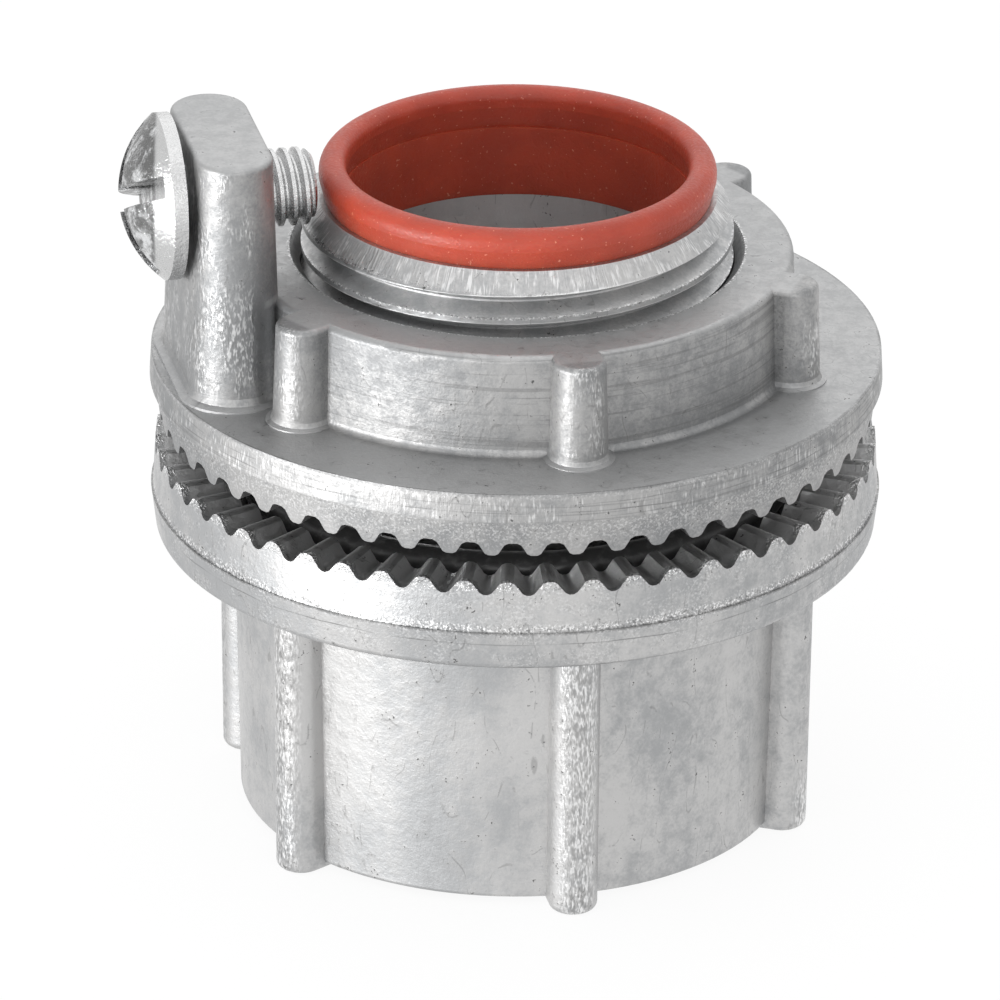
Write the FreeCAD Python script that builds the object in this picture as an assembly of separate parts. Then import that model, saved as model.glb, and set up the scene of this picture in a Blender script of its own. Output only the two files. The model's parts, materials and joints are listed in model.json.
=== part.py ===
import FreeCAD, Part
import math
import os

# A rigid conduit hub, in millimetres. Height zero is its bottom, on the axis of its bore.
# Angles are in degrees about that axis, from the front of the object towards its right.

# Conduit entry in the bottom of the body
pipe_thread_radius = 11.85
pipe_thread_length = 15.65
entry_widening = 1.75
entry_length = 1.55
entry_cone = 0.5
stop_width = 1.1
stop_length = 1.6

# Body below the flange. Its ribs reach a little below its rim and carry it.
rim_height = 0.45
body_wall = 3.5
body_height = 18.1
body_draft = 0.4
body_edge_round = 0.3
hub_rib_count = 6
hub_rib_angle = 12.2
hub_rib_width = 3.05
hub_rib_height = 2.1
hub_rib_draft = 0.25
hub_rib_round = 0.55

# Flange with its upward teeth
flange_overhang = 5.55
flange_thickness = 5.85
flange_foot_taper = 0.3
flange_edge_round = 0.5
parting_rise = 2.55
parting_step = 0.12
tooth_count = 54
tooth_band = 3.1
tooth_draft = 0.3
hub_tooth_depth = 0.85
hub_tooth_angle = 2.17

# Recess in the flange, and the ring of rubber in it
recess_depth = 2.9
gasket_thickness = 2.2
gasket_clearance = 2.1

# Nipple
nipple_wall = 2.6
nipple_length = 16.1
lead_length = 1.25
lead_taper = 1.05
thread_fit = 0.08

# Thread on the nipple, 14 turns to the inch. Its groove runs out a little below the nipple's end.
thread_pitch = 25.4 / 14
thread_depth = 1.12
thread_mouth_width = 1.45
thread_root_width = 0.12
thread_overcut = 0.2
thread_start_rise = 0.95
thread_end_drop = 1.33
thread_end_angle = 126.0

# Lining of the throat
liner_wall = 0.65
liner_fit = 0.03
liner_depth = 4.8
lip_inset = 0.05
lip_height = 2.35
lip_inward = 0.2
lip_outer_round = 0.95
lip_inner_round = 0.7
lip_undercut = 0.3
bead_drop = 0.25
bead_step = 0.12

# Locknut
tooth_gap = 1.68
nut_tooth_depth = 0.85
nut_tooth_angle = 6.33
nut_inset = 0.05
nut_rim_height = 4.24
nut_band_height = 1.8
nut_band_bulge = 0.1
nut_band_step = 0.25
nut_step_height = 0.15
nut_skirt_draft = 0.25
nut_recess_depth = 1.62
plate_rise = 0.18
collar_wall = 3.87
collar_height = 6.58
collar_draft = 0.25
collar_round = 0.45
mouth_chamfer = 0.62
nut_rib_count = 6
nut_rib_angle = 12.5
nut_rib_width = 3.2
nut_rib_height = 2.0
nut_rib_draft = 0.2
nut_rib_round = 0.35
base_flare = 0.4

# Grounding post on the locknut
post_angle = -77.5
post_offset = 1.25
post_length = 12.6
post_thickness = 4.76
post_draft = 0.5
post_flare = 0.6
post_cap = 4.0
post_edge_round = 0.35

# Grounding screw
screw_radius = 2.41
screw_fit = 0.06
screw_sink = 0.86
screw_tip_clearance = 0.7
screw_tip_chamfer = 0.45
head_radius = 5.15
head_edge = 0.85
head_dome = 2.45
head_gap = 0.5
slot_width = 1.35
slot_depth = 2.0
slot_angle = 30.0

# Radii that follow from the ones above
throat_radius = pipe_thread_radius - stop_width
entry_radius = pipe_thread_radius + entry_widening
body_foot_radius = entry_radius + body_wall
flange_radius = body_foot_radius + flange_overhang
tooth_inner_radius = flange_radius - tooth_band
nipple_radius = throat_radius + nipple_wall
nipple_end_radius = nipple_radius - lead_taper
gasket_centre_radius = nipple_radius + gasket_clearance + 0.5 * gasket_thickness
liner_seat_radius = throat_radius + liner_wall + liner_fit
lip_outer_radius = nipple_end_radius - lip_inset
lip_inner_radius = throat_radius - lip_inward
nut_radius = flange_radius - nut_inset
nut_bore_radius = nipple_radius + thread_fit
collar_radius = nut_bore_radius + collar_wall
collar_middle_radius = 0.5 * (nut_bore_radius + collar_radius)
post_centre_radius = collar_radius + post_offset
screw_tip_radius = lip_outer_radius + screw_tip_clearance

# Heights that follow from the ones above
flange_underside = rim_height + body_height
parting_height = flange_underside + parting_rise
crest_height = flange_underside + flange_thickness
recess_floor = crest_height - recess_depth
nipple_end = crest_height + nipple_length
entry_top = rim_height + entry_length
pipe_thread_top = rim_height + pipe_thread_length
liner_foot = nipple_end - liner_depth
lip_top = nipple_end + lip_height
nut_tip_height = crest_height + tooth_gap
nut_band_top = nut_tip_height + nut_rim_height
plate_top = nut_band_top + plate_rise
recess_roof = nut_tip_height + nut_recess_depth
plate_middle = 0.5 * (recess_roof + nut_band_top)
collar_top = nut_band_top + collar_height
screw_height = nipple_end + screw_radius - screw_sink
post_top = screw_height + post_cap

# Outlines of the grooves between teeth: share of a tooth's pitch to each side, share of its depth
pitch_angle = 360.0 / tooth_count
hub_groove = [(0.46, -0.3), (0.43, 0.0), (0.33, 0.13), (0.14, 0.86), (0.05, 1.0)]
nut_groove = [(0.47, -0.3), (0.42, 0.0), (0.34, 0.13), (0.2, 0.84), (0.1, 1.0)]

origin = FreeCAD.Vector(0, 0, 0)
up = FreeCAD.Vector(0, 0, 1)
rightward = FreeCAD.Vector(1, 0, 0)
tolerance = 1e-4


def turned(points):
    """Solid of revolution about the bore's axis, from (radius, height) corners."""
    wire = Part.makePolygon([FreeCAD.Vector(r, 0, z) for r, z in points + points[:1]])
    return Part.Face(wire).revolve(origin, up, 360)


def is_level(edge, height):
    """Whether an edge lies wholly at one height."""
    box = edge.BoundBox
    return abs(box.ZMin - height) < tolerance and abs(box.ZMax - height) < tolerance


def reach(edge):
    """Radius at the middle of an edge."""
    middle = edge.valueAt(0.5 * (edge.FirstParameter + edge.LastParameter))
    return math.hypot(middle.x, middle.y)


def round_level(shape, size, height, inside, outside=math.inf):
    """Rounds the edges at one height whose radii lie between two values."""
    chosen = [edge for edge in shape.Edges if is_level(edge, height) and inside < reach(edge) < outside]
    return shape.makeFillet(size, chosen)


def around(shape, angle):
    """Copy of a shape built at the front, turned to its angle."""
    copy = shape.copy()
    copy.rotate(origin, up, angle)
    return copy


def ring_of(shape, count, first_angle):
    """Copies of a shape built at the front, evenly round the axis."""
    return [around(shape, first_angle + k * 360.0 / count) for k in range(count)]


def front(across, radius, height):
    """Point at the front of the object, by its distances across and out from the axis."""
    return FreeCAD.Vector(across, -radius, height)


def rib_outline(half_width, root_radius, outer_radius, height):
    """Section of a rib: a root inside the wall, two sides and a half round outer face."""
    nose_radius = outer_radius - half_width
    nose = Part.Arc(
        front(half_width, nose_radius, height),
        front(0, outer_radius, height),
        front(-half_width, nose_radius, height),
    )
    return Part.Wire([
        Part.makeLine(front(-half_width, root_radius, height), front(half_width, root_radius, height)),
        Part.makeLine(front(half_width, root_radius, height), front(half_width, nose_radius, height)),
        nose.toShape(),
        Part.makeLine(front(-half_width, nose_radius, height), front(-half_width, root_radius, height)),
    ])


def tooth_grooves(outline, crest, depth, first_angle):
    """Radial grooves between the teeth of one ring. A negative depth cuts down from the crest."""
    whole = [(-share, drop) for share, drop in outline] + outline[::-1]
    sections = []
    for radius in (tooth_inner_radius - tooth_band, flange_radius + tooth_band):
        corners = [
            front(radius * math.tan(math.radians(share * pitch_angle)), radius, crest + drop * depth)
            for share, drop in whole
        ]
        sections.append(Part.makePolygon(corners + corners[:1]))
    groove = Part.makeLoft(sections, True, True)
    return Part.makeCompound(ring_of(groove, tooth_count, first_angle))


def hub_core():
    """Everything on the hub that was turned or cored about the bore."""
    flange_foot_radius = flange_radius - flange_foot_taper
    core = turned([
        (entry_radius, rim_height),
        (body_foot_radius, rim_height),
        (body_foot_radius + body_draft, flange_underside),
        (flange_foot_radius, flange_underside),
        (flange_radius, parting_height),
        (flange_radius - parting_step, parting_height),
        (flange_radius - tooth_draft, crest_height),
        (tooth_inner_radius, crest_height),
        (tooth_inner_radius, recess_floor),
        (nipple_radius, recess_floor),
        (nipple_radius, nipple_end - lead_length),
        (nipple_end_radius, nipple_end),
        (liner_seat_radius, nipple_end),
        (liner_seat_radius, liner_foot),
        (throat_radius, liner_foot),
        (throat_radius, pipe_thread_top + stop_length),
        (pipe_thread_radius, pipe_thread_top),
        (pipe_thread_radius, entry_top),
        (entry_radius, entry_top - entry_cone),
    ])
    core = round_level(core, flange_edge_round, flange_underside, flange_foot_radius - tolerance)
    return round_level(core, body_edge_round, rim_height, body_foot_radius - tolerance)


def hub_rib():
    """Vertical rib of the body, from its rounded foot up into the flange."""
    half_width = 0.5 * hub_rib_width
    root_radius = 0.5 * (entry_radius + body_foot_radius)
    outer_radius = body_foot_radius + hub_rib_height
    foot = rib_outline(half_width, root_radius, outer_radius, 0)
    crown = rib_outline(half_width, root_radius, outer_radius + hub_rib_draft, parting_height)
    rib = Part.makeLoft([foot, crown], True, True)
    beside_root = math.hypot(root_radius, half_width)
    return round_level(rib, hub_rib_round, 0, beside_root)


def thread_groove():
    """Right-handed groove of the nipple's thread, swept up a helix from just above the teeth."""
    start_height = crest_height + thread_start_rise
    climb = nipple_end - thread_end_drop - start_height
    half_root = 0.5 * thread_root_width
    half_mouth = 0.5 * thread_mouth_width
    half_outside = half_mouth + (half_mouth - half_root) * thread_overcut / thread_depth
    outside_radius = nipple_radius + thread_overcut
    root_radius = nipple_radius - thread_depth
    corners = [
        FreeCAD.Vector(outside_radius, 0, half_outside),
        FreeCAD.Vector(root_radius, 0, half_root),
        FreeCAD.Vector(root_radius, 0, -half_root),
        FreeCAD.Vector(outside_radius, 0, -half_outside),
    ]
    section = Part.makePolygon(corners + corners[:1])
    groove = Part.makeHelix(thread_pitch, climb, nipple_radius).makePipeShell([section], True, True)
    groove.translate(up * start_height)
    groove.rotate(origin, up, thread_end_angle - 90 - 360 * climb / thread_pitch)
    return groove


def hub_body():
    body = hub_core().multiFuse(ring_of(hub_rib(), hub_rib_count, hub_rib_angle))
    body = body.cut(tooth_grooves(hub_groove, crest_height, -hub_tooth_depth, hub_tooth_angle))
    return body.cut(thread_groove())


def sealing_gasket():
    section_radius = 0.5 * gasket_thickness
    ring = Part.makeTorus(gasket_centre_radius, section_radius)
    ring.translate(up * (recess_floor + section_radius))
    return ring


def throat_liner():
    lip_middle = nipple_end + 0.5 * lip_height
    lining = turned([
        (throat_radius, liner_foot),
        (throat_radius + liner_wall, liner_foot),
        (throat_radius + liner_wall, nipple_end),
        (lip_outer_radius - lip_undercut, nipple_end),
        (lip_outer_radius, lip_middle),
        (lip_outer_radius, lip_top),
        (lip_inner_radius, lip_top),
        (lip_inner_radius, lip_middle),
        (throat_radius + bead_step, nipple_end - bead_drop),
        (throat_radius, nipple_end - bead_drop),
    ])
    crown_radius = 0.5 * (lip_inner_radius + lip_outer_radius)
    lining = round_level(lining, lip_outer_round, lip_top, crown_radius)
    return round_level(lining, lip_inner_round, lip_top, 0, crown_radius)


def nut_core():
    """Everything on the locknut that was turned about the bore: toothed rim, plate and collar."""
    step_height = nut_band_top - nut_band_height
    skirt_radius = nut_radius - nut_band_step
    core = turned([
        (nut_bore_radius, recess_roof),
        (nut_bore_radius, collar_top - mouth_chamfer),
        (nut_bore_radius + mouth_chamfer, collar_top),
        (collar_radius - collar_draft, collar_top),
        (collar_radius, plate_top),
        (nut_radius, nut_band_top),
        (nut_radius + nut_band_bulge, step_height),
        (skirt_radius, step_height - nut_step_height),
        (skirt_radius - nut_skirt_draft, nut_tip_height),
        (tooth_inner_radius, nut_tip_height),
        (tooth_inner_radius, recess_roof),
    ])
    core = round_level(core, base_flare, plate_top, collar_radius - tolerance)
    return round_level(core, collar_round, collar_top, collar_middle_radius)


def boss(outline, top, draft, flare):
    """Boss on the locknut's plate. Its outline grows by the draft on its way down and flares at the foot."""
    stations = [(plate_middle, flare)]
    for degrees in (0, 45, 90):
        angle = math.radians(degrees)
        stations.append((plate_top + flare * (1 - math.cos(angle)), flare * (1 - math.sin(angle))))
    stations.append((top, 0))
    sections = [
        outline(growth + draft * (top - height) / (top - plate_top), height)
        for height, growth in stations
    ]
    return Part.makeLoft(sections, True, True)


def nut_rib_section(growth, height):
    half_width = 0.5 * nut_rib_width + growth
    return rib_outline(half_width, collar_middle_radius, collar_radius + nut_rib_height + growth, height)


def nut_rib():
    """Vertical rib of the collar, level with its top and rounded there."""
    rib = boss(nut_rib_section, collar_top, nut_rib_draft, base_flare)
    beside_root = math.hypot(collar_middle_radius, 0.5 * nut_rib_width)
    return round_level(rib, nut_rib_round, collar_top, beside_root)


def post_section(growth, height):
    """Section of the grounding post: two flats across the radius, and round ends."""
    half_thickness = 0.5 * post_thickness + growth
    tip = 0.5 * post_length + growth
    flat = tip - half_thickness
    near = post_centre_radius - half_thickness
    far = post_centre_radius + half_thickness
    right_end = Part.Arc(
        front(flat, near, height), front(tip, post_centre_radius, height), front(flat, far, height)
    )
    left_end = Part.Arc(
        front(-flat, far, height), front(-tip, post_centre_radius, height), front(-flat, near, height)
    )
    return Part.Wire([
        Part.makeLine(front(-flat, near, height), front(flat, near, height)),
        right_end.toShape(),
        Part.makeLine(front(flat, far, height), front(-flat, far, height)),
        left_end.toShape(),
    ])


def grounding_post():
    """Upright tab for the grounding screw, clear of the nipple's bore."""
    post = boss(post_section, post_top, post_draft, post_flare)
    post = round_level(post, post_edge_round, post_top, 0)
    return around(post.cut(Part.makeCylinder(collar_middle_radius, post_top)), post_angle)


def locknut():
    ribs = ring_of(nut_rib(), nut_rib_count, nut_rib_angle)
    nut = nut_core().multiFuse(ribs + [grounding_post()])
    nut = nut.cut(tooth_grooves(nut_groove, nut_tip_height, nut_tooth_depth, nut_tooth_angle))
    return nut.cut(screw_hole())


def across_post(shape):
    """Lays a shape built along the height axis onto the screw's axis, its heights becoming radii."""
    copy = shape.copy()
    copy.rotate(origin, rightward, 90)
    copy.translate(up * screw_height)
    return around(copy, post_angle)


def screw_hole():
    hole = Part.makeCylinder(screw_radius + screw_fit, 2 * post_thickness, up * (post_centre_radius - post_thickness))
    return across_post(hole)


def screw_shank(end_radius):
    """Shank from its chamfered tip beside the nipple out to the head."""
    shank = Part.makeCylinder(screw_radius, end_radius - screw_tip_radius, up * screw_tip_radius)
    tip = [edge for edge in shank.Edges if is_level(edge, screw_tip_radius)]
    return shank.makeChamfer(screw_tip_chamfer, tip)


def screw_head(seat_radius):
    """Round head with a low edge, a domed face and a cross recess."""
    face_radius = seat_radius + head_edge + head_dome
    dome_radius = (head_radius ** 2 + head_dome ** 2) / (2 * head_dome)
    disc = Part.makeCylinder(head_radius, face_radius - seat_radius, up * seat_radius)
    head = disc.common(Part.makeSphere(dome_radius, up * (face_radius - dome_radius)))
    slot_length = 4 * head_radius
    corner = FreeCAD.Vector(-0.5 * slot_length, -0.5 * slot_width, face_radius - slot_depth)
    slot = Part.makeBox(slot_length, slot_width, 2 * slot_depth, corner)
    for turn in (slot_angle, slot_angle + 90):
        head = head.cut(around(slot, turn))
    return head


def ground_screw():
    slope = post_draft * (post_top - screw_height) / (post_top - plate_top)
    seat_radius = post_centre_radius + 0.5 * post_thickness + slope + head_gap
    return across_post(screw_head(seat_radius).fuse(screw_shank(seat_radius + head_edge)))


def write(name, shape):
    """Writes one named solid to its own file."""
    solid = shape.removeSplitter().Solids[0]
    solid.exportStep(os.path.join("parts", name + ".step"))
    print(name, "solids", len(shape.Solids), "valid", solid.isValid(), "volume", round(solid.Volume, 1))


os.makedirs("parts", exist_ok=True)
write("hub_body", hub_body())
write("sealing_gasket", sealing_gasket())
write("throat_liner", throat_liner())
write("locknut", locknut())
write("ground_screw", ground_screw())
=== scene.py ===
import json
import math
import bpy
from mathutils import Matrix, Vector


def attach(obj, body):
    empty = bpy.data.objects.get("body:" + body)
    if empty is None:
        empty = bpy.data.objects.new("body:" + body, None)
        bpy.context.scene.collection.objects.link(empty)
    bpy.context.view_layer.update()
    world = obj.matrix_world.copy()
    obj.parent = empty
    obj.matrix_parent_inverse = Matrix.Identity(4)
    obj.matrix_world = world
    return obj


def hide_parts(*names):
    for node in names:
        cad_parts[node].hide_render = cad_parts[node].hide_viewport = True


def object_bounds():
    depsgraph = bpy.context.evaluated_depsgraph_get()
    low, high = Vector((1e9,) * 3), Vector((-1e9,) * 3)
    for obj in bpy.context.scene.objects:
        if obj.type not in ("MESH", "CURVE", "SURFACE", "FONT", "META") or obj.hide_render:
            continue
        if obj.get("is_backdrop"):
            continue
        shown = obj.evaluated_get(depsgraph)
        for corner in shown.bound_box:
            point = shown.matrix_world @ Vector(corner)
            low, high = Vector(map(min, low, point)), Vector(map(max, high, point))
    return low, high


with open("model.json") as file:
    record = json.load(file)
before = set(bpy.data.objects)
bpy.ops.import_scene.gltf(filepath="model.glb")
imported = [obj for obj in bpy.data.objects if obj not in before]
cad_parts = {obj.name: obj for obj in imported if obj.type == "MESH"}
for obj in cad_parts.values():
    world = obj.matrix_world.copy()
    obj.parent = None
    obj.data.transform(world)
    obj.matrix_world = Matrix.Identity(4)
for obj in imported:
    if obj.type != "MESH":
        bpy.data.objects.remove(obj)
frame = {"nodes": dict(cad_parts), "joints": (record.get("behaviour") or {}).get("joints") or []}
nodes = frame["nodes"]
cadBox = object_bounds()
mm = 0.001
print("frame loaded:", ", ".join(sorted(nodes)))


# A node's output with arithmetic, so that masks and helices read as sums.
class Value:
    def __init__(self, graph, socket):
        self.graph = graph
        self.socket = socket

    def __add__(self, other):
        return self.graph.maths("ADD", self, other)

    def __sub__(self, other):
        return self.graph.maths("SUBTRACT", self, other)

    def __rsub__(self, other):
        return self.graph.maths("SUBTRACT", other, self)

    def __mul__(self, other):
        return self.graph.maths("MULTIPLY", self, other)

    def __truediv__(self, other):
        return self.graph.maths("DIVIDE", self, other)

    __radd__ = __add__
    __rmul__ = __mul__


class Graph:                                # what shader trees and geometry trees share
    def __init__(self, tree):
        self.tree = tree

    def node(self, kind, settings=None, values=None, output=0):
        made = self.tree.nodes.new(kind)
        for key, setting in (settings or {}).items():
            setattr(made, key, setting)
        for key, value in (values or {}).items():
            if isinstance(value, Value):
                self.tree.links.new(value.socket, made.inputs[key])
            else:
                made.inputs[key].default_value = value
        return Value(self, made.outputs[output]) if made.outputs else None

    def maths(self, operation, *values):
        return self.node("ShaderNodeMath", {"operation": operation}, dict(enumerate(values)))

    def join(self, x, y, z):
        return self.node("ShaderNodeCombineXYZ", None, {0: x, 1: y, 2: z})


class Shader(Graph):
    def __init__(self, owner):              # a material or the world
        owner.use_nodes = True
        super().__init__(owner.node_tree)
        self.owner = owner
        self.tree.nodes.clear()

    def position(self):                     # object coordinates in millimetres
        place = self.node("ShaderNodeTexCoord", output="Object")
        return self.node("ShaderNodeVectorMath", {"operation": "SCALE"}, {0: place, "Scale": 1 / mm})

    def split(self, vector):
        return [self.node("ShaderNodeSeparateXYZ", None, {0: vector}, axis) for axis in "XYZ"]

    def stretch(self, vector, scale):
        return self.node("ShaderNodeVectorMath", {"operation": "MULTIPLY"}, {0: vector, 1: scale})

    def noise(self, vector, scale, detail, roughness=0.5, distortion=0.0):
        return self.node("ShaderNodeTexNoise", None, {
            "Vector": vector, "Scale": scale, "Detail": detail,
            "Roughness": roughness, "Distortion": distortion})

    def ramp(self, value, low, high, first=0.0, last=1.0):
        return self.node("ShaderNodeMapRange", {"interpolation_type": "SMOOTHSTEP"}, {
            "Value": value, "From Min": low, "From Max": high, "To Min": first, "To Max": last})

    def fade(self, value, low, high):
        return self.ramp(value, low, high, 1.0, 0.0)

    def blend(self, factor, first, second):
        return self.node("ShaderNodeMix", {"data_type": "RGBA"}, {0: factor, 6: first, 7: second}, 2)

    def bump(self, height):                 # height in millimetres
        return self.node("ShaderNodeBump", None, {"Distance": mm, "Height": height})

    def finish(self, **sockets):
        values = {key.replace("_", " "): value for key, value in sockets.items()}
        surface = self.node("ShaderNodeBsdfPrincipled", None, values)
        self.node("ShaderNodeOutputMaterial", None, {"Surface": surface})
        return self.owner


def grey(level, warmth=0.0):
    return (level * (1 + warmth), level, level * (1 - warmth), 1.0)


# Die-cast zinc: satin, mottled, with soft clouds, fine grain, pits and a few fine scratches.
# Sizes and heights in mm, stretches per axis, and shares of how strongly each mark covers.
castLook = {
    "pit": grey(0.13), "line": grey(0.17), "spark": grey(0.9),
    "cloudSize": 8.0, "smearSize": 3.0, "mottleSize": 1.0, "grainSize": 0.2,
    "flakeSize": 0.15, "streakSize": 0.15, "scratchSize": 2.4,
    "smearStretch": (1.0, 1.0, 0.22), "streakStretch": (1.0, 1.0, 0.32),
    "scratchStretch": (1.1, 1.7, 0.4),
    "tearWrap": (9.0, 0.6), "driftWrap": (2.6, 0.0), "fadingWrap": (5.0, 0.0),
    "tickWrap": (60.0, 0.5),
    "mottleHeight": 0.04, "grainHeight": 0.012, "streakHeight": 0.05,
    "hollowShare": 0.7, "darkStreakShare": 0.6, "scoreShare": 0.75, "scratchShare": 0.35,
    "roughSpread": 0.07, "polish": 0.16, "edgeSoftness": 0.12,
}


class Casting(Shader):
    def __init__(self, name, finish):
        super().__init__(bpy.data.materials.new(name))
        look = castLook
        self.place = self.position()
        self.x, self.y, self.z = self.split(self.place)
        self.radius = self.maths("SQRT", self.x * self.x + self.y * self.y)
        self.turn = self.maths("ARCTAN2", self.x, self.y * -1.0)
        cloud = self.noise(self.place, 1 / look["cloudSize"], 0.0)
        smear = self.stretch(self.place, look["smearStretch"])
        smear = self.noise(smear, 1 / look["smearSize"], 3.0, 0.6)
        mottle = self.noise(self.place, 1 / look["mottleSize"], 4.0, 0.62)
        grain = self.noise(self.place, 1 / look["grainSize"], 2.0, 0.6)
        streak = self.stretch(self.place, look["streakStretch"])
        self.streak = self.noise(streak, 1 / look["streakSize"], 1.0, 0.7)
        self.spark = self.ramp(self.noise(self.place, 1 / look["flakeSize"], 1.0, 0.6), 0.5, 0.64)
        self.hollow = self.ramp(self.noise(self.place, 0.8 / look["flakeSize"], 1.0, 0.7), 0.52, 0.66)
        self.pit = self.ramp(mottle, 0.6, 0.64) * self.ramp(grain, 0.6, 0.66)
        self.scratch = self.hairs() * self.ramp(mottle, 0.5, 0.56)
        self.tear = self.ramp(self.noise(self.wrap(*look["tearWrap"]), 1.3, 2.0, 0.6), 0.4, 0.62)
        self.drift = self.noise(self.wrap(*look["driftWrap"]), 1.3, 1.0)
        self.fading = self.noise(self.wrap(*look["fadingWrap"]), 0.9, 1.0, 0.6)
        shade = self.ramp(cloud * 0.3 + smear * 0.25 + mottle * 0.3 + grain * 0.15, 0.4, 0.6)
        self.colour = self.blend(shade, finish["dull"], finish["bright"])
        rough, spread = finish["rough"], look["roughSpread"]
        self.rough = self.ramp(
            mottle * 0.6 + grain * 0.4, 0.35, 0.65, rough + spread, rough - spread)
        self.height = mottle * look["mottleHeight"] + grain * look["grainHeight"]

    def wrap(self, along, up):              # coordinates that run round the part, for tool marks
        return self.join(self.turn * along, self.radius * up, self.z * up)

    def hairs(self):                        # short thin lines: the level lines of a smooth noise
        field = self.stretch(self.place, castLook["scratchStretch"])
        field = self.noise(field, 1 / castLook["scratchSize"], 1.0, 0.4)
        return self.fade(self.maths("ABSOLUTE", field - 0.5), 0.002, 0.01)

    def ticks(self, scale, roughness):      # short upright tool marks
        return self.noise(self.wrap(*castLook["tickWrap"]), scale, 1.0, roughness)

    # Masks by distance from the bore's axis and by height. Two numbers say where a mask starts
    # and where it is full, or for inside and below, where it starts to fade and where it is gone.
    def outside(self, low, high):
        return self.ramp(self.radius, low, high)

    def inside(self, low, high):
        return self.fade(self.radius, low, high)

    def below(self, low, high):
        return self.fade(self.z, low, high)

    def between(self, low, high):
        soft = castLook["edgeSoftness"]
        return self.ramp(self.z, low - soft, low + soft) * self.below(high - soft, high + soft)

    def near(self, radius, height, width):  # a thin ring round the bore's axis
        across = self.radius - radius
        along = self.z - height
        return self.fade(self.maths("SQRT", across * across + along * along), 0.0, width)

    def helix(self, height, width, pitch):  # a line that climbs one pitch for each turn to the right
        phase = (self.z - self.turn * (pitch / math.tau) - height) / pitch
        away = self.maths("FRACT", phase + 0.5) - 0.5
        return self.fade(self.maths("ABSOLUTE", away) * pitch, 0.0, width)

    def paint(self, mask, colour):
        self.colour = self.blend(mask, self.colour, colour)

    def rubbed(self, mask, strength=1.0):   # worn ridge: bright flecks between dark pits
        self.paint(mask * self.spark * strength, castLook["spark"])
        self.paint(mask * self.hollow * castLook["hollowShare"] * strength, castLook["pit"])

    def drawn(self, mask, strength=1.0):    # polished and streaked along the bore as it left the die
        dark = self.fade(self.streak, 0.34, 0.5) * castLook["darkStreakShare"]
        self.paint(mask * self.ramp(self.streak, 0.5, 0.66) * strength, castLook["spark"])
        self.paint(mask * dark * strength, castLook["line"])
        self.rough = self.rough - mask * castLook["polish"] * strength
        self.height = self.height + mask * self.streak * castLook["streakHeight"] * strength

    def scored(self, radius, height, width, least=0.1, swing=0.3):  # a dark line that wanders and fades
        fading = self.ramp(self.fading, 0.38, 0.6, least, 1.0)
        line = self.near(radius, self.drift * swing + (height - swing / 2), width) * fading
        self.paint(line * castLook["scoreShare"], castLook["line"])

    def done(self):
        self.paint(self.pit, castLook["pit"])
        self.paint(self.scratch * castLook["scratchShare"], castLook["pit"])
        return self.finish(
            Base_Color=self.colour, Metallic=1.0, Roughness=self.rough, Normal=self.bump(self.height))


# Places on the hub that the photo shows worn, torn or scored, as radii and heights in mm. The last score
# is painted shadow under the flange's edge.
hubLook = {
    "dull": grey(0.39, -0.014), "bright": grey(0.54, 0.006), "rough": 0.46,
    "lighterGrey": grey(0.7), "toothShare": 0.7, "boreShare": 0.8,
    "boreSkin": (10.95, 11.25), "toothFaces": (21.75, 22.15), "toothHeights": (22.0, 24.6),
    "ribSkin": (18.5, 19.4), "ribTops": (18.25, 18.55),
    # footWear is wear at the ribs' foot; leftSideSheen makes the rib streaks stronger on the lit left
    # side, a painted sheen
    "footWear": (1.0, 5.5), "leftSideSheen": (4.0, 14.0, 0.75, 0.08),
    "flangeSkin": (21.95, 22.25), "flangeHeights": (18.55, 24.4), "flangeWear": 0.25,
    "toothEnds": {"radius": 22.45, "height": 24.4, "width": 0.9}, "flakeHeight": 0.04,
    "parting": {"radius": 22.65, "height": 21.3, "width": 0.55},
    "scores": [
        {"radius": 22.65, "height": 21.1, "width": 0.2, "least": 0.5},
        {"radius": 22.55, "height": 20.3, "width": 0.07, "swing": -0.4},
        # painted shadow, not a score: a dark line along the flange's rounded lower edge
        {"radius": 22.07, "height": 18.61, "width": 0.22, "least": 0.6, "swing": 0.2},
    ],
}
nippleLook = {
    "leadInSkin": (11.7, 12.1), "leadInHeights": (39.25, 40.5),
    "crestInside": (13.15, 13.27), "crestOutside": (13.55, 13.85),
    "burr": {"height": 37.79, "width": 0.13, "pitch": 1.814},
    "edge": {"height": 39.26, "width": 0.09, "pitch": 1.814},
    "tickScale": 1.8, "tickShare": 0.6, "tickHeight": 0.03, "edgeShare": 0.7,
    "polishedFrom": (35.0, 36.0), "polish": 0.1,
}


def hubFinish():
    look = hubLook
    cast = Casting("castZincHub", look)
    teeth = cast.between(*look["toothHeights"]) * cast.inside(*look["toothFaces"])
    ribs = cast.outside(*look["ribSkin"]) * cast.below(*look["ribTops"])
    wearAndSheen = cast.maths("MAXIMUM", cast.below(*look["footWear"]), cast.ramp(cast.x, *look["leftSideSheen"]))
    flange = cast.between(*look["flangeHeights"]) * cast.outside(*look["flangeSkin"])
    ends = cast.near(**look["toothEnds"])
    # the tooth faces in the gap and the bore are painted a lighter grey
    cast.paint(teeth * look["toothShare"], look["lighterGrey"])
    cast.paint(cast.inside(*look["boreSkin"]) * look["boreShare"], look["lighterGrey"])
    # bright and dark streaks on the ribs: wear at the foot, and painted sheen that is stronger on the
    # left, where the light falls
    cast.drawn(ribs * wearAndSheen)
    cast.rubbed(ends)
    cast.height = cast.height + ends * cast.spark * look["flakeHeight"]
    cast.rubbed(flange * cast.tear, look["flangeWear"])
    cast.rubbed(cast.near(**look["parting"]))
    # dark lines round the flange; the lowest one is painted shadow under its edge
    for score in look["scores"]:
        cast.scored(**score)
    nippleFinish(cast)
    return cast.done()


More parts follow.
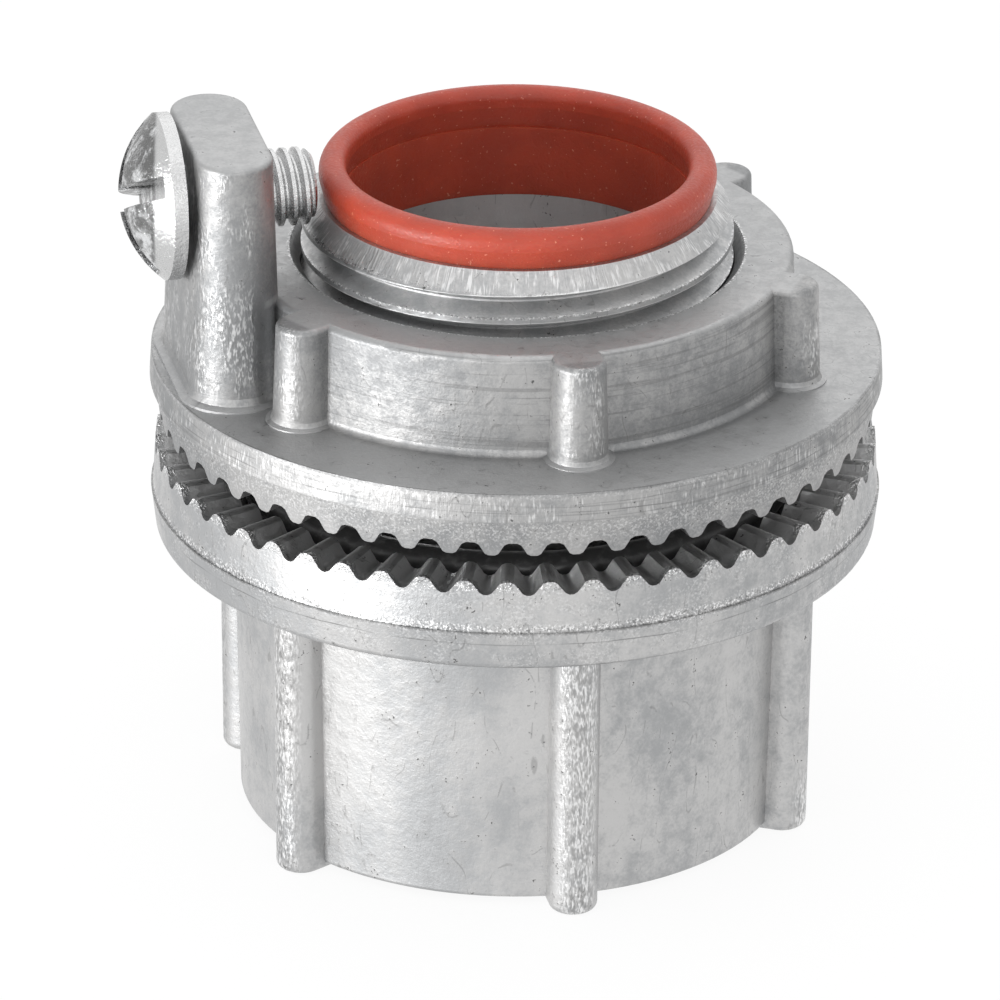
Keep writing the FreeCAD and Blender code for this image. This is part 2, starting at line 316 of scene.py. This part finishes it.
def nippleFinish(cast):                     # tool marks on the lead-in, burrs along the groove's edges
    look = nippleLook
    ticks = cast.ticks(look["tickScale"], 0.6)
    leadIn = cast.outside(*look["leadInSkin"]) * cast.between(*look["leadInHeights"])
    crests = cast.outside(*look["crestInside"]) * cast.inside(*look["crestOutside"])
    marks = leadIn * cast.ramp(ticks, 0.45, 0.62) * cast.tear
    cast.paint(marks * look["tickShare"], castLook["spark"])
    # painted highlight: a thin bright line along the thread's crest edge
    cast.paint(cast.helix(**look["edge"]) * crests * look["edgeShare"], castLook["spark"])
    cast.rubbed(cast.helix(**look["burr"]) * crests)
    polished = (crests + leadIn) * cast.ramp(cast.z, *look["polishedFrom"])
    cast.height = cast.height + leadIn * ticks * look["tickHeight"]
    cast.rough = cast.rough - polished * look["polish"]


# The same for the locknut, whose casting is duller, with painted light on its upward flat faces.
nutLook = {
    "dull": grey(0.28, -0.014), "bright": grey(0.41, 0.006), "rough": 0.54,
    # level: a lighter grey painted on the plate, collar and post tops as painted light
    "level": grey(0.45, -0.006), "upwardLightShare": 0.7,
    "plateFace": (30.17, 30.67), "plateSkin": (17.8, 18.4),
    "collarFace": (36.75, 37.2), "collarFaceSkin": (17.9, 18.3),
    "collarHeights": (30.92, 36.8), "collarSkin": (17.5, 18.0), "postFace": (45.9, 46.35),
    "rimSkin": (22.05, 22.3), "band": (28.52, 30.02), "skirt": (26.08, 28.32), "skirtWear": 0.3,
    "ribSkin": (18.6, 19.2), "ribHeights": (31.12, 45.75), "ribWear": 0.5,
    "ribPatchStretch": (1.0, 1.0, 0.45), "ribPatchScale": 0.7,
    "plateEdge": {"radius": 22.6, "height": 30.22, "width": 0.35}, "plateEdgeWear": 0.3,
    "mouth": {"radius": 14.05, "height": 36.9, "width": 0.25},
    "tickScale": 2.2, "tickShare": 0.5, "tickHeight": 0.02,
    "aroundWrap": (1.2, 3.2), "aroundScale": 1.2, "aroundShare": 0.4,
    "scores": [
        {"radius": 22.55, "height": 30.27, "width": 0.16, "least": 0.3},
        {"radius": 22.6, "height": 29.62, "width": 0.07, "swing": 0.5},
        {"radius": 22.65, "height": 29.12, "width": 0.07, "swing": -0.4},
        {"radius": 22.5, "height": 28.44, "width": 0.2, "least": 0.35},
    ],
}


def nutFinish():
    look = nutLook
    cast = Casting("castZincNut", look)
    outer = cast.outside(*look["rimSkin"])
    band = cast.between(*look["band"]) * outer
    skirt = cast.between(*look["skirt"]) * outer
    plate = cast.between(*look["plateFace"]) * cast.outside(*look["plateSkin"])
    collar = cast.between(*look["collarFace"]) * cast.inside(*look["collarFaceSkin"])
    patches = cast.stretch(cast.place, look["ribPatchStretch"])
    patches = cast.ramp(cast.noise(patches, look["ribPatchScale"], 2.0, 0.6), 0.4, 0.62)
    ribs = cast.outside(*look["ribSkin"]) * cast.between(*look["ribHeights"])
    ticks = cast.ticks(look["tickScale"], 0.65)
    # painted light: the upward flat faces of the plate, collar and posts get a lighter grey
    level = plate + collar + cast.between(*look["postFace"])
    cast.paint(level * look["upwardLightShare"], look["level"])
    cast.drawn(ribs * patches, look["ribWear"])
    cast.rubbed(skirt, look["skirtWear"])
    cast.rubbed(cast.near(**look["plateEdge"]), look["plateEdgeWear"])
    cast.rubbed(cast.near(**look["mouth"]))
    marks = band * cast.ramp(ticks, 0.5, 0.66) * cast.tear
    cast.paint(marks * look["tickShare"], castLook["spark"])
    around = cast.between(*look["collarHeights"]) * cast.inside(*look["collarSkin"]) + band
    lines = cast.noise(cast.wrap(*look["aroundWrap"]), look["aroundScale"], 2.0, 0.6)
    cast.paint(around * cast.fade(lines, 0.36, 0.46) * look["aroundShare"], castLook["line"])
    for score in look["scores"]:
        cast.scored(**score)
    cast.height = cast.height + band * ticks * look["tickHeight"]
    return cast.done()


# Zinc plate on the grounding screw: bright, with dark patches on its head that are painted reflections,
# and a fine frost.
plateLook = {
    "bright": grey(0.76, -0.01), "dark": grey(0.17), "shank": grey(0.55), "shankShare": 0.8,
    "headEnd": (-22.2, -21.8), "frostScale": 5.0, "patchSize": 1.4, "patchTwist": 1.0,
    "smoothest": 0.14, "roughest": 0.34, "bumpHeight": 0.06,
}


def screwFinish():
    look = plateLook
    shader = Shader(bpy.data.materials.new("zincPlate"))
    place = shader.position()
    head = shader.fade(shader.split(place)[0], *look["headEnd"])
    frost = shader.noise(place, look["frostScale"], 3.0, 0.7)
    darkReflectionPatch = shader.noise(place, 1 / look["patchSize"], 3.0, 0.5, look["patchTwist"])
    # painted reflection: dark patches on the head stand in for the dark surroundings that the shiny head
    # mirrors
    dull = shader.ramp(darkReflectionPatch * 0.65 + frost * 0.35, 0.36, 0.56)
    colour = shader.blend(head * dull, look["bright"], look["dark"])
    shank = shader.ramp(head, 0.0, 1.0, look["shankShare"], 0.0)
    colour = shader.blend(shank, colour, look["shank"])
    rough = shader.ramp(frost, 0.35, 0.65, look["smoothest"], look["roughest"])
    height = frost * look["bumpHeight"] + darkReflectionPatch * look["bumpHeight"]
    return shader.finish(
        Base_Color=colour, Metallic=1.0, Roughness=rough, Normal=shader.bump(height))


# Red-orange moulded lining: satin, a little waxy, with a faint speckle.
linerLook = {
    "colour": (0.37, 0.048, 0.021, 1.0), "deep": (0.32, 0.04, 0.018, 1.0),
    "dust": (0.6, 0.25, 0.17, 1.0), "dustScale": 4.5, "dustShare": 0.6,
    "cloudScale": 0.35, "cloudHeight": 0.05, "speckScale": 5.0, "speckHeight": 0.035,
    "rough": 0.46, "roughSpread": 0.1,
    "waxShare": 0.5, "waxDepth": 3.2, "waxColour": (1.0, 0.25, 0.12),
}


def linerFinish():
    look = linerLook
    shader = Shader(bpy.data.materials.new("redPlastic"))
    place = shader.position()
    cloud = shader.noise(place, look["cloudScale"], 3.0)
    speck = shader.noise(place, look["speckScale"], 3.0, 0.6)
    dust = shader.ramp(shader.noise(place, look["dustScale"], 1.0), 0.7, 0.76)
    colour = shader.blend(shader.ramp(cloud, 0.35, 0.65), look["deep"], look["colour"])
    colour = shader.blend(dust * look["dustShare"], colour, look["dust"])
    rough, spread = look["rough"], look["roughSpread"]
    height = speck * look["speckHeight"] + cloud * look["cloudHeight"]
    return shader.finish(
        Base_Color=colour, Roughness=shader.ramp(speck, 0.3, 0.7, rough + spread, rough - spread),
        Normal=shader.bump(height), Subsurface_Weight=look["waxShare"],
        Subsurface_Radius=look["waxColour"], Subsurface_Scale=look["waxDepth"] * mm)


# Black rubber ring between the toothed faces, with a little dust.
rubberLook = {
    "colour": grey(0.06), "dusty": grey(0.11), "rough": 0.28, "dustyRough": 0.48,
    "dustScale": 1.4, "dustHeight": 0.01,
}


def rubberFinish():
    look = rubberLook
    shader = Shader(bpy.data.materials.new("blackRubber"))
    dust = shader.noise(shader.position(), look["dustScale"], 4.0, 0.6)
    dust = shader.ramp(dust, 0.5, 0.7)
    return shader.finish(
        Base_Color=shader.blend(dust, look["colour"], look["dusty"]),
        Roughness=shader.ramp(dust, 0.0, 1.0, look["rough"], look["dustyRough"]),
        Normal=shader.bump(dust * look["dustHeight"]))


# A helical cutter for one thread: a line bent into a helix, swept with the groove's section.
class Sweep(Graph):
    def __init__(self, name, sizes):
        super().__init__(bpy.data.node_groups.new(name, "GeometryNodeTree"))
        face = self.tree.interface
        face.new_socket("Geometry", in_out="OUTPUT", socket_type="NodeSocketGeometry")
        for size in sizes:
            face.new_socket(size, in_out="INPUT", socket_type="NodeSocketFloat")
        self.entry = self.tree.nodes.new("NodeGroupInput")

    def size(self, name):
        return Value(self, self.entry.outputs[name])

    def finish(self, geometry, material):
        plain = self.node("GeometryNodeRealizeInstances", None, {0: geometry})
        dressed = self.node("GeometryNodeSetMaterial", None, {"Geometry": plain, "Material": material})
        leave = self.tree.nodes.new("NodeGroupOutput")
        self.tree.links.new(dressed.socket, leave.inputs[0])
        return self.tree


def grooveGraph(material):
    graph = Sweep("threadGroove", [
        "Radius", "Depth", "Over", "Width", "Root", "Pitch", "Turns", "Start", "Steps"])
    size = graph.size
    line = graph.node("GeometryNodeMeshLine", {"mode": "OFFSET"}, {"Count": size("Steps") + 1.0})
    curve = graph.node("GeometryNodeMeshToCurve", None, {0: line})
    share = graph.node("GeometryNodeInputIndex") / size("Steps")
    angle = share * size("Turns") * math.tau
    place = graph.join(
        size("Radius") * graph.maths("COSINE", angle),
        size("Radius") * graph.maths("SINE", angle),
        size("Start") + share * size("Turns") * size("Pitch"))
    helix = graph.node("GeometryNodeSetPosition", None, {"Geometry": curve, "Position": place})
    helix = graph.node("GeometryNodeSetCurveNormal", {"mode": "Z_UP"}, {0: helix})
    mouth = size("Over") * -1.0
    corners = [
        graph.join(across, up, 0.0) for across, up in (
            (mouth, size("Width") * 0.5),
            (size("Depth"), size("Root") * 0.5),
            (size("Depth"), size("Root") * -0.5),
            (mouth, size("Width") * -0.5))
    ]
    section = graph.node("GeometryNodeCurvePrimitiveQuadrilateral", {"mode": "POINTS"}, {
        "Point %d" % number: corner for number, corner in enumerate(corners, 1)})
    swept = graph.node("GeometryNodeCurveToMesh", None, {
        "Curve": helix, "Profile Curve": section, "Fill Caps": True})
    return graph.finish(swept, material)


def baked(thing):                           # the evaluated result as a plain mesh object
    graph = bpy.context.evaluated_depsgraph_get()
    mesh = bpy.data.meshes.new_from_object(thing.evaluated_get(graph), depsgraph=graph)
    thing.modifiers.clear()
    thing.data = mesh
    return thing


def addObject(name, data):
    thing = bpy.data.objects.new(name, data)
    bpy.context.scene.collection.objects.link(thing)
    return thing


def groove(tree, name, sizes):
    cutter = addObject(name, bpy.data.meshes.new(name))
    sweep = cutter.modifiers.new("sweep", "NODES")
    sweep.node_group = tree
    for item in tree.interface.items_tree:
        if item.in_out == "INPUT":
            sweep[item.identifier] = float(sizes[item.name])
    return baked(cutter)


meshLook = {"weldDistance": 1e-7, "sharpAngle": 30}


def threadedCopy(node, name, cutter):       # the CAD solid with its thread groove cut
    copy = addObject(name, nodes[node].data.copy())
    stored = copy.data.attributes.get("custom_normal")
    if stored:                              # made for loose triangles, so wrong once they are merged
        copy.data.attributes.remove(stored)
    weld = copy.modifiers.new("weld", "WELD")
    weld.merge_threshold = meshLook["weldDistance"]
    cut = copy.modifiers.new("cut", "BOOLEAN")
    cut.operation = "DIFFERENCE"
    cut.solver = "MANIFOLD"
    cut.object = cutter
    baked(copy)
    bpy.data.objects.remove(cutter)
    copy.data.shade_smooth()
    copy.data.set_sharp_from_angle(angle=math.radians(meshLook["sharpAngle"]))
    weighted = copy.modifiers.new("weighted", "WEIGHTED_NORMAL")
    weighted.keep_sharp = True
    baked(copy)
    print("thread cut:", name, len(copy.data.polygons), "faces")
    return copy


def dress(thing, material):
    thing.data.materials.clear()
    thing.data.materials.append(material)


# Threads in mm: the crest's radius, the groove's depth and widths, where it starts, and how far
# the cutter stands over the crest. The groove is cut outwards (way 1) or inwards (way -1).
conduitThread = {
    "radius": 11.85, "depth": 1.05, "mouth": 1.5, "root": 0.16, "pitch": 1.814,
    "start": 1.2, "turns": 7.4, "over": 0.2, "way": 1.0, "stepsPerTurn": 72,
}
screwThread = {
    "radius": 2.41, "depth": 0.42, "mouth": 0.56, "root": 0.12, "pitch": 0.794,
    "start": 12.4, "turns": 12.0, "over": 0.15, "way": -1.0, "stepsPerTurn": 48,
}


def grooveSizes(look):
    way = look["way"] * mm
    slope = (look["mouth"] - look["root"]) / look["depth"]
    return {
        "Radius": look["radius"] * mm, "Depth": way * look["depth"], "Over": way * look["over"],
        "Width": -way * (look["mouth"] + slope * look["over"]), "Root": -way * look["root"],
        "Pitch": look["pitch"] * mm, "Turns": look["turns"], "Start": look["start"] * mm,
        "Steps": round(look["stepsPerTurn"] * look["turns"])}


def screwFrame():                           # turns the thread's own axis onto the screw's axis
    joint = next(j for j in frame["joints"] if j["child"] == "screw")
    turn = Vector(joint["axis"]).to_track_quat("Z", "Y").to_matrix().to_4x4()
    return Matrix.Translation((0.0, 0.0, joint["pos_m"][2])) @ turn


def dressHub(tree, material):
    cutter = groove(tree, "conduitGroove", grooveSizes(conduitThread))
    hub = threadedCopy("hub_body", "threadedHub", cutter)
    dress(hub, material)
    return hub


def dressScrew(tree, material):
    cutter = groove(tree, "screwGroove", grooveSizes(screwThread))
    cutter.data.transform(screwFrame())
    screw = threadedCopy("ground_screw", "threadedScrew", cutter)
    dress(screw, material)
    return screw


tree = grooveGraph(bpy.data.materials.new("cutter"))
threadedHub = dressHub(tree, hubFinish())
threadedScrew = dressScrew(tree, screwFinish())
dress(nodes["locknut"], nutFinish())
dress(nodes["throat_liner"], linerFinish())
dress(nodes["sealing_gasket"], rubberFinish())

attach(threadedHub, "hub")
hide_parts("hub_body")
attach(threadedScrew, "screw")
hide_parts("ground_screw")
print("pieces dressed")

# Studio: pale floor and sky, a low strip of light on the left, large soft lamps behind and above,
# and a weak one in front. Lamps in metres and watts, turned from the front towards the right.
floorLook = {"size": 6.0, "colour": grey(0.95), "keptShadow": 0.1}
skyLook = {"horizon": grey(1.0), "zenith": grey(0.8), "steepness": 1.6}
lampTarget = (0.0, 0.0, 0.025)
lamps = [
    {"name": "key", "turn": -53, "rise": 0, "away": 0.50, "width": 0.25, "height": 0.05, "power": 2.3},
    {"name": "back", "turn": 178, "rise": 38, "away": 0.70, "width": 0.80, "height": 0.50, "power": 0.8},
    {"name": "top", "turn": -10, "rise": 84, "away": 0.60, "width": 0.60, "height": 0.60, "power": 0.9},
    {"name": "front", "turn": 8, "rise": 20, "away": 0.60, "width": 0.40, "height": 0.20, "power": 0.4},
]


def shownWhite(shader):                     # all of it in reflections, all but its shadow to the camera
    camera, glossy, transmission = (
        shader.node("ShaderNodeLightPath", output=name)
        for name in ("Is Camera Ray", "Is Glossy Ray", "Is Transmission Ray"))
    seen = camera * (1 - floorLook["keptShadow"])
    return shader.maths("MAXIMUM", seen, shader.maths("MAXIMUM", glossy, transmission))


def makeFloor():
    shader = Shader(bpy.data.materials.new("paleFloor"))
    paint = shader.node("ShaderNodeBsdfDiffuse", None, {"Color": floorLook["colour"]})
    glow = shader.node("ShaderNodeEmission", None, {"Color": grey(1.0), "Strength": 1.0})
    surface = shader.node("ShaderNodeMixShader", None, {0: shownWhite(shader), 1: paint, 2: glow})
    shader.node("ShaderNodeOutputMaterial", None, {"Surface": surface})
    half = floorLook["size"] / 2
    corners = [(-half, -half, 0), (half, -half, 0), (half, half, 0), (-half, half, 0)]
    mesh = bpy.data.meshes.new("floor")
    mesh.from_pydata(corners, [], [(0, 1, 2, 3)])
    floor = addObject("floor", mesh)
    dress(floor, shader.owner)
    floor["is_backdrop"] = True


def makeWorld():
    world = bpy.data.worlds.new("studio")
    shader = Shader(world)
    up = shader.split(shader.node("ShaderNodeTexCoord", output="Generated"))[2]
    share = shader.maths("POWER", shader.maths("MAXIMUM", up, 0.0), skyLook["steepness"])
    sky = shader.blend(share, skyLook["horizon"], skyLook["zenith"])
    light = shader.node("ShaderNodeBackground", None, {"Color": sky, "Strength": 1.0})
    shader.node("ShaderNodeOutputWorld", None, {"Surface": light})
    bpy.context.scene.world = world


def aimed(name, data, place, target):
    thing = addObject(name, data)
    thing.location = place
    thing.rotation_euler = (target - place).to_track_quat("-Z", "Y").to_euler()
    return thing


def direction(turn, rise):
    turn, rise = math.radians(turn), math.radians(rise)
    return Vector((math.sin(turn) * math.cos(rise), -math.cos(turn) * math.cos(rise), math.sin(rise)))


def makeLamps():
    middle = Vector(lampTarget)
    for look in lamps:
        lamp = bpy.data.lights.new(look["name"], "AREA")
        lamp.shape = "RECTANGLE"
        lamp.size = look["width"]
        lamp.size_y = look["height"]
        lamp.energy = look["power"]
        place = middle + direction(look["turn"], look["rise"]) * look["away"]
        aimed(look["name"], lamp, place, middle)


# The photo's camera: a long lens a little above the part, turned very slightly on its axis.
cameraLook = {
    "aim": (-0.93, 0.0, 19.58), "away": 700.0, "rise": 24.78, "roll": 0.46,
    "lens": 404.5, "sensor": 36.0, "clipStart": 10.0,
}


def makeCamera():
    look = cameraLook
    lens = bpy.data.cameras.new("camera")
    lens.lens = look["lens"]
    lens.sensor_width = look["sensor"]
    lens.clip_start = look["clipStart"] * mm
    aim = Vector(look["aim"]) * mm
    camera = aimed("camera", lens, aim + direction(0, look["rise"]) * look["away"] * mm, aim)
    camera.rotation_euler.rotate_axis("Z", math.radians(look["roll"]))
    bpy.context.scene.camera = camera


makeFloor()
makeWorld()
makeLamps()
makeCamera()
bpy.context.scene.view_settings.view_transform = "Standard"
print("studio ready")


def plain(box):
    return [[float(number) for number in corner] for corner in box]


{"cad": plain(cadBox), "visual": plain(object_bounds())}
